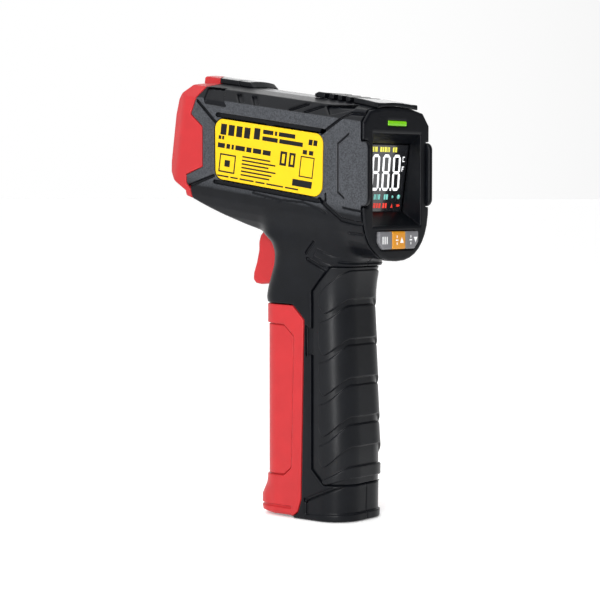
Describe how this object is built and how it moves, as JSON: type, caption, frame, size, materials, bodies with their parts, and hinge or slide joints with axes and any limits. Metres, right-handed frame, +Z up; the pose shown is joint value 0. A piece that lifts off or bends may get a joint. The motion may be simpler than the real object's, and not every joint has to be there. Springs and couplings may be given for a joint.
{
  "type": "infrared thermometer",
  "caption": "Pistol-grip infrared thermometer with a tilted barrel, rear screen with keys, finger trigger and a hinged battery door in the grip.",
  "frame": {"origin": "under the middle of the overall length, on the centre plane, at the base of the grip that the object stands on", "axes": "+Z up along the grip, the muzzle points to -Y and tilts up by 8.2 degrees, the screen faces +Y, +X is the left side of the object"},
  "size_m": [0.0356, 0.0875, 0.1478],
  "materials": {
    "black_plastic": "fine spark texture",
    "black_trim": "satin",
    "grip_rubber": "satin soft touch",
    "red_plastic": "satin",
    "label_film": "printed film, semi-gloss",
    "green_light": "clear light bar",
    "grey_key": "satin",
    "orange_key": "satin",
    "grey_rubber": "matte",
    "window": "clear acrylic",
    "display": "colour screen",
    "board": "solder mask",
    "black_part": "moulded",
    "lens": "milky infrared lens",
    "steel": "plated",
    "brass": "turned",
    "red_lens": "moulded",
    "battery_sleeve": "plain wrapper",
    "red_wire": "insulation",
    "black_wire": "insulation"
  },
  "bodies": {
    "body": {"left_housing": "black_plastic", "right_housing": "black_plastic", "nose_shroud": "red_plastic", "top_front_block": "black_trim", "top_rear_spine": "black_trim", "grip_sleeve": "grip_rubber", "label_left": "label_film", "label_right": "label_film", "rear_bezel": "black_trim", "status_light": "green_light", "keypad_membrane": "grey_rubber", "display_window": "window", "display_module": "display", "main_board": "board", "buzzer": "black_part", "nose_plate": "black_trim", "optics_tube": "black_part", "ir_lens": "lens", "ir_sensor": "steel", "sensor_board": "board", "laser_module": "brass", "laser_lens": "red_lens", "trigger_pin": "steel", "trigger_spring": "steel", "trigger_switch": "black_part", "switch_board": "board", "door_pin": "steel", "battery_tray": "black_part", "battery_left": "battery_sleeve", "battery_right": "battery_sleeve", "contact_spring_left": "steel", "contact_spring_right": "steel", "contact_plate_bottom": "steel", "contact_plate_top": "steel", "battery_lead_red": "red_wire", "battery_lead_black": "black_wire", "housing_screw_1": "steel", "housing_screw_2": "steel", "housing_screw_3": "steel", "housing_screw_4": "steel", "housing_screw_5": "steel"},
    "trigger_body": {"trigger": "red_plastic"},
    "door_body": {"battery_door": "red_plastic"},
    "key_left_body": {"key_left": "grey_key"},
    "key_middle_body": {"key_middle": "orange_key"},
    "key_right_body": {"key_right": "grey_key"}
  },
  "joints": [
    {"name": "trigger_pull", "type": "hinge", "parent": "body", "child": "trigger_body", "pos_m": [0, 0.0015, 0.0904], "axis": [1, 0, 0], "range_deg": [0, 6], "stiffness_Nm_per_rad": 0.3, "springref_deg": -5.73, "deforming": ["trigger_spring"]},
    {"name": "battery_door_hinge", "type": "hinge", "parent": "body", "child": "door_body", "pos_m": [0, -0.0044, 0.0055], "axis": [1, 0, 0], "range_deg": [0, 70]},
    {"name": "key_left_press", "type": "slide", "parent": "body", "child": "key_left_body", "axis": [0, -1, 0], "range_m": [0, 0.0005], "stiffness_N_per_m": 1500},
    {"name": "key_middle_press", "type": "slide", "parent": "body", "child": "key_middle_body", "axis": [0, -1, 0], "range_m": [0, 0.0005], "stiffness_N_per_m": 1500},
    {"name": "key_right_press", "type": "slide", "parent": "body", "child": "key_right_body", "axis": [0, -1, 0], "range_m": [0, 0.0005], "stiffness_N_per_m": 1500}
  ]
}
